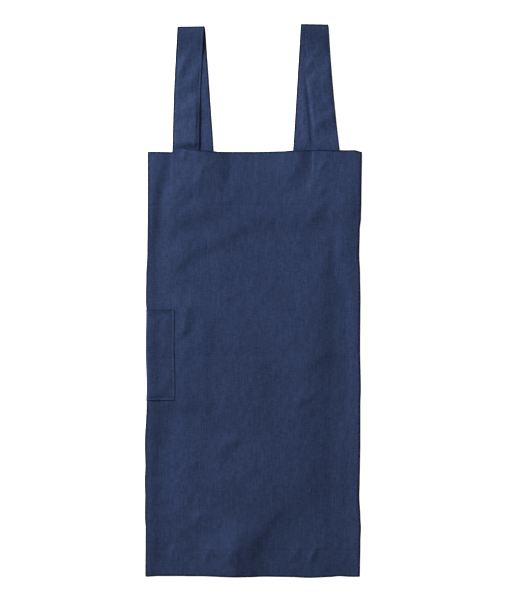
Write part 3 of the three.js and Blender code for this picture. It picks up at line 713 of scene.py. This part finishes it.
# The straps' folds, in the same columns as the front's, but as shares of a strap's width from its middle and
# of its straight length, down from the shoulder. STRAP_FOLDS lie on the front layers and BACK_FOLDS on the
# back ones.
STRAP_FOLDS = {
    "strap_left": [
        dict(ahead=14, behind=7, high=1.1, path=[(-0.219, 0.139), (-0.292, 0.398), (-0.252, 0.658)]),
        dict(ahead=14, behind=10, high=1.2, path=[(0.705, 0.280), (0.234, 0.398), (-0.236, 0.517)]),
        dict(ahead=10, behind=12, high=1, path=[(0.443, 0.532), (0.119, 0.627), (-0.202, 0.737)]),
        dict(ahead=8, behind=42, high=3.9, path=[(0.438, 0.501), (0.439, 0.753), (0.427, 1.162)]),
        dict(ahead=8, behind=9, high=0.8, path=[(-0.059, 0.202), (-0.195, 0.296), (-0.328, 0.406)]),
    ],
    "strap_right": [
        dict(ahead=26, behind=22, high=0.8, path=[(1.025, 0.123), (0.041, 0.139), (-1.005, 0.123)]),
        dict(ahead=8, behind=18, high=1.1,
             path=[(0.630, 0.170), (0.453, 0.328), (0.377, 0.517), (0.369, 0.721)]),
        dict(ahead=14, behind=10, high=0.7, path=[(0.349, 0.123), (0.010, 0.217), (-0.461, 0.265)]),
        dict(ahead=4, behind=5, high=-0.9, path=[(-0.800, 0.359), (-0.396, 0.383), (-0.048, 0.359)]),
        dict(ahead=5, behind=5, high=1.1, path=[(-0.154, 0.249), (-0.367, 0.312), (-0.581, 0.375)]),
        dict(ahead=9, behind=6, high=1.2, path=[(-0.073, 0.328), (-0.224, 0.422), (-0.406, 0.501)]),
        dict(ahead=24, behind=6, high=2.3,
             path=[(-0.393, 0.375), (-0.375, 0.517), (-0.333, 0.690), (-0.341, 0.894)]),
        dict(ahead=15, behind=12, high=1.9, path=[(0.802, 0.674), (0.174, 0.737), (-0.487, 0.792)]),
        dict(ahead=10, behind=10, high=-0.4, path=[(-0.096, 0.847), (0.198, 0.863), (0.662, 0.831)]),
        dict(ahead=5, behind=6, high=1, path=[(-0.121, 0.910), (-0.335, 0.973), (-0.549, 1.036)]),
    ],
}
BACK_FOLDS = {
    "strap_left": [
        dict(ahead=6, behind=6, high=0.7, path=[(0.467, 0.233), (0.404, 0.422), (0.346, 0.595)]),
        dict(ahead=5, behind=6, high=0.5, path=[(0.336, 0.737), (0.304, 0.831), (0.268, 0.942)]),
    ],
    "strap_right": [
        dict(ahead=5, behind=12, high=1.9,
             path=[(-0.382, 0.359), (-0.225, 0.517), (-0.104, 0.674), (0.020, 0.847), (0.083, 1.068)]),
        dict(ahead=4, behind=5, high=0.5, path=[(-0.334, 0.658), (-0.199, 0.737), (-0.088, 0.863)]),
    ],
}

# Crumples over the straps' front layers, in the same columns as the front's
STRAP_CRUMPLES = [
    dict(high=0.5 * MM, long=34 * MM, wide=20 * MM, dip=0.8, seed=41.3),
    dict(high=0.22 * MM, long=11 * MM, wide=9 * MM, dip=0, seed=43.7),
]


def strap_straight(strap):
    """How far up a strap runs before it bends over"""
    return strap["rise"] * STRAP_RISE - STRAP_THICKNESS / 2 - STRAP_BEND


def strap_length(strap):
    """The whole length of a strap's cloth"""
    return 2 * (STRAP_TAIL + strap_straight(strap)) + BEND_LENGTH


def strap_relief(aside, drop, strap, straight, front):
    """How far a strap's front or back layer stands over its plain lie"""
    folds = (STRAP_FOLDS if front else BACK_FOLDS)[strap["name"]]
    relief = sum(fold_height(aside, drop, fold, (STRAP_WIDTH, straight)) for fold in folds)
    if not front:
        return relief
    for kind in STRAP_CRUMPLES:
        along = drop + kind["dip"] * aside
        relief += kind["high"] * ripple(aside + strap["side"], along, kind["long"], kind["wide"], kind["seed"])
    from_edge = STRAP_WIDTH / 2 - np.abs(aside)
    sewn = STRAP_PULL * hump(from_edge - STRAP_TURNING, STRAP_PULL_REACH)
    return relief * mix(STRAP_CALM, 1, smooth(from_edge / STRAP_CALM_REACH)) - sewn


def strap_place(strap):
    """The function that lays a strap: aside is the place across it, and run the place along it from its front"""
    side, straight = strap["side"], strap_straight(strap)
    bend_start = STRAP_TAIL + straight
    half = STRAP_THICKNESS / 2
    in_bend = half + 2 * STRAP_BEND
    plain = 3 * half + STRAP_GAP
    front_tail = FRONT_TAIL + half
    back_tail = (2 * LAYER if side < 0 else LAYER) + half

    def place(aside, run):
        turn = np.clip((run - bend_start) / BEND_LENGTH, 0, 1)
        up = np.where(run < bend_start, run - STRAP_TAIL, straight - (run - bend_start - BEND_LENGTH))
        up = np.where((turn > 0) & (turn < 1), straight, up)
        climb = np.clip(up / straight, 0, 1)
        leave = smooth((up - TOP_WAVE) / STRAP_LEAVE)
        free = smooth((up - TOP_WAVE / 2) / STRAP_FREE) * smooth((straight - up) / STRAP_FREE_TOP)
        on_front = (1 + np.cos(math.pi * turn)) / 2
        front_x = mix(strap["foot"], strap["front"], climb) + strap["bow"] * np.sin(math.pi * climb)
        back_x = mix(BACK_FOOT / FRONT_WIDTH, strap["back"], climb)
        over_back = aside + side * FRONT_WIDTH * on_front * (front_x - back_x)
        slack = STRAP_SLACK + strap_relief(aside, straight - up, strap, straight, True)
        behind = strap_relief(over_back, straight - up, strap, straight, False) * free
        swell = (in_bend - plain) * smooth((up - straight + STRAP_SWELL) / STRAP_SWELL)
        lying = plain + behind + swell + STRAP_SINK * np.logaddexp(0, slack / STRAP_SINK)
        lying = mix(lying, in_bend, 1 - smooth((straight - up) / STRAP_INTO_BEND))
        front_z = mix(front_tail + (lying - 2 * STRAP_THICKNESS) * free, lying, leave)
        back_z = mix(back_tail, half, leave) + behind * (turn == 1)
        wave = STRAP_WAVE * ripple(run, side + 0 * run, 40 * MM, 1.0, 55.5) * free
        x = side * FRONT_WIDTH * mix(back_x, front_x, on_front) + wave + aside
        y = TOP_EDGE + up + strap["tilt"] * aside * smooth(up / straight) + STRAP_BEND * np.sin(math.pi * turn)
        return np.stack([x, y, mix(back_z, front_z, on_front)], axis=-1)

    return place


def strap_wear_and_shade(strap):
    """Painted shade: dark in the edges that nothing lies behind and in the shoulder's fold, and less dark below that
    """
    bend = STRAP_TAIL + strap_straight(strap) + BEND_LENGTH / 2

    def wear_and_shade(aside, run):
        outer = (strap["side"] * aside > 0) == (run < bend)
        from_edge = STRAP_WIDTH / 2 - np.abs(aside)
        edge = 1 - smooth((from_edge - RIM) / RIM_FADE)
        pale = 0.3 * hump(from_edge - STRAP_TURNING, 1.5 * MM)
        from_bend = np.abs(run - bend)
        bend_shade = 1 - smooth((from_bend - BEND_SHADE) / BEND_FADE)
        shoulder_shade = strap["shoulder_shade"] * (1 - smooth((from_bend - SHOULDER_SHADE_REACH) / SHOULDER_SHADE_FADE))
        # painted shade on the outer edges and in the shoulder's fold, and a lighter painted shade around that fold
        return pale - np.maximum(RIM_SHADE * np.maximum(edge * outer, bend_shade), shoulder_shade)

    return wear_and_shade


pressed_linen = linen("pressed_strap_linen", tinted(NAVY_DEEP, 0.95), tinted(NAVY_PALE, 1.1), 2.0)
strap_sides = (-STRAP_WIDTH / 2, STRAP_WIDTH / 2)
strap_columns = spread(*strap_sides, 1.8 * MM, 0.7 * MM, strap_sides, 4 * MM)
strap_pieces = {}
for strap in STRAPS:
    length = strap_length(strap)
    strap_rows = spread(0, length, 2 * MM, 0.45 * MM, (length / 2,), 5 * MM)
    piece = cloth_sheet(
        strap["name"].replace("strap_", "strap_cloth_"),
        strap_columns,
        strap_rows[::-1],
        strap_place(strap),
        STRAP_THICKNESS,
        strap_wear_and_shade(strap),
    )
    piece.data.materials.append(pressed_linen)
    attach(piece, "root")
    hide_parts(strap["name"])
    strap_pieces[strap["name"]] = piece


# The stitching
# Navy thread in a lockstitch of nine stitches to the inch, seen as a row of short dashes that sink into the
# linen along the facing's lower edge, the hem, three sides of the pocket and both edges of each strap.
STITCH_PITCH = 2.8 * MM
STITCH_LENGTH = 2.2 * MM
STITCH_PROBE = 0.3  # share of the pitch ahead and behind at which a stitch takes its direction
THREAD = 0.45 * MM
SEAM_START = 3 * MM  # how far from the top edge a strap's stitching starts
SEAM_STOP = 2 * MM  # how far from a fold or an edge stitching stops
THREAD_DEEP = (0.009, 0.016, 0.045, 1)
THREAD_PALE = (0.024, 0.038, 0.094, 1)


def thread_material():
    material = bpy.data.materials.new("navy_thread")
    material.use_nodes = True
    material.node_tree.nodes.clear()
    shade = Shade(material.node_tree)
    place = shade.node("ShaderNodeTexCoord", out=3)
    fibre = shade.node("ShaderNodeTexNoise", values={"Vector": place, "Scale": 900.0, "Detail": 3.0})
    tones = {"Factor": fibre, 6: THREAD_DEEP, 7: THREAD_PALE}
    colour = shade.node("ShaderNodeMix", {"data_type": "RGBA"}, tones, out=2)
    bump = shade.node("ShaderNodeBump", values={"Strength": 0.5, "Distance": 0.1 * MM, "Height": fibre})
    values = {"Base Color": colour, "Roughness": 0.55 + fibre * 0.2, "Normal": bump, "Specular IOR Level": 0.35}
    surface = shade.node("ShaderNodeBsdfPrincipled", values=values)
    shade.node("ShaderNodeOutputMaterial", values={"Surface": surface})
    return material


navy_thread = thread_material()


def sew(name, runs, thickness):
    """Rows of stitches on a cloth. Each run holds the cloth's place function and the row's two ends."""
    seam = bmesh.new()
    for place, start, end in runs:
        start, end = np.array(start), np.array(end)
        count = max(2, round(np.linalg.norm(end - start) / STITCH_PITCH))
        share = (np.arange(count) + 0.5) / count
        across, down = (mix(start[axis], end[axis], share) for axis in (0, 1))
        step = (end - start) / count * STITCH_PROBE
        places = place(across, down)
        ahead = place(across + step[0], down + step[1]) - place(across - step[0], down - step[1])
        normals = outward(place, across, down)
        for middle, along, up in zip(places, ahead, normals):
            along, up = Vector(along).normalized(), Vector(up)
            aside = up.cross(along)
            turned = Matrix((along * STITCH_LENGTH, aside * THREAD, up * THREAD)).transposed().to_4x4()
            seat = Vector(middle) + up * (thickness / 2)
            bmesh.ops.create_icosphere(seam, subdivisions=2, radius=0.5, matrix=Matrix.Translation(seat) @ turned)
    bmesh.ops.recalc_face_normals(seam, faces=seam.faces)
    mesh = bpy.data.meshes.new(name)
    seam.to_mesh(mesh)
    seam.free()
    mesh.polygons.foreach_set("use_smooth", np.ones(len(mesh.polygons), dtype=bool))
    piece = bpy.data.objects.new(name, mesh)
    bpy.context.scene.collection.objects.link(piece)
    piece.data.materials.append(navy_thread)
    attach(piece, "root")
    return piece


facing_run = (body_place, (-band_edge, FACING_STITCHES), (band_edge, FACING_STITCHES))
hem_run = (body_place, (-band_edge, HEM_STITCHES), (band_edge, HEM_STITCHES))
facing_stitches = sew("facing_stitches", [facing_run], CLOTH)
hem_stitches = sew("hem_stitches", [hem_run], CLOTH)
pocket_side = pocket_front_edge - POCKET_TURNING
pocket_floor = POCKET_BOTTOM - POCKET_TURNING
pocket_behind = pocket_back_edge + POCKET_TURNING
pocket_start = POCKET_TOP + SEAM_STOP
pocket_stitches = sew(
    "pocket_stitches",
    [
        (pocket_place, (pocket_side, pocket_start), (pocket_side, pocket_floor)),
        (pocket_place, (pocket_side, pocket_floor), (pocket_behind, pocket_floor)),
        (pocket_place, (pocket_behind, pocket_floor), (pocket_behind, pocket_start)),
    ],
    CLOTH,
)
for strap in STRAPS:
    place = strap_place(strap)
    edge = STRAP_WIDTH / 2 - STRAP_TURNING
    front_end = STRAP_TAIL + strap_straight(strap) - SEAM_STOP
    back_start = front_end + BEND_LENGTH + 2 * SEAM_STOP
    back_end = back_start + front_end - STRAP_TAIL
    runs = []
    for way in (-1, 1):
        runs.append((place, (way * edge, STRAP_TAIL + SEAM_START), (way * edge, front_end)))
        runs.append((place, (way * edge, back_start), (way * edge, back_end)))
    name = strap["name"].replace("strap_", "strap_stitches_")
    sew(name, runs, STRAP_THICKNESS)


# The floor and the light
# The apron lies on a plain pale floor. A large soft light stands to its upper left and low enough to bring
# out the folds, and a paler one and the room's own light fill the shadows.
FLOOR_SIZE = 30.0
floor_grid = bmesh.new()
bmesh.ops.create_grid(floor_grid, x_segments=1, y_segments=1, size=FLOOR_SIZE / 2)
floor_mesh = bpy.data.meshes.new("floor")
floor_grid.to_mesh(floor_mesh)
floor_grid.free()
floor = bpy.data.objects.new("floor", floor_mesh)
bpy.context.scene.collection.objects.link(floor)

floor_paint = bpy.data.materials.new("pale_floor")
floor_paint.use_nodes = True
floor_paint.node_tree.nodes.clear()
floor_shade = Shade(floor_paint.node_tree)
floor_values = {"Base Color": (0.93, 0.93, 0.935, 1), "Roughness": 0.75, "Specular IOR Level": 0.1}
floor_values |= {"Emission Color": (1, 1, 1, 1), "Emission Strength": 0.9}
floor_surface = floor_shade.node("ShaderNodeBsdfPrincipled", values=floor_values)
floor_shade.node("ShaderNodeOutputMaterial", values={"Surface": floor_surface})
floor.data.materials.append(floor_paint)


def softbox(name, place, size, power, colour):
    light = bpy.data.lights.new(name, "AREA")
    light.color = colour
    light.size = size
    light.energy = power
    lamp = bpy.data.objects.new(name, light)
    lamp.location = place
    lamp.rotation_euler = Vector(place).to_track_quat("Z", "Y").to_euler()
    bpy.context.scene.collection.objects.link(lamp)


softbox("key", (-2.2, 2.35, 1.25), 1.3, 330, (0.98, 0.99, 1))
softbox("fill", (2, -1.4, 2.6), 2.4, 14, (1, 0.92, 0.78))

room = bpy.data.worlds.new("room")
room.use_nodes = True
room.node_tree.nodes["Background"].inputs["Color"].default_value = (1, 0.95, 0.84, 1)
room.node_tree.nodes["Background"].inputs["Strength"].default_value = 0.3
bpy.context.scene.world = room


# What the cloth was cut to
# The size of each cut is worked out below and not used: the body's full width with both wings, a strap's full length
# with its two sewn tails, and the bands and the pocket as they are.
2 * CLOTH_EDGE
2 * band_edge
2 * band_edge
pocket_front_edge - pocket_back_edge
for strap in STRAPS:
    piece = strap_pieces[strap["name"]]
    strap_length(strap)
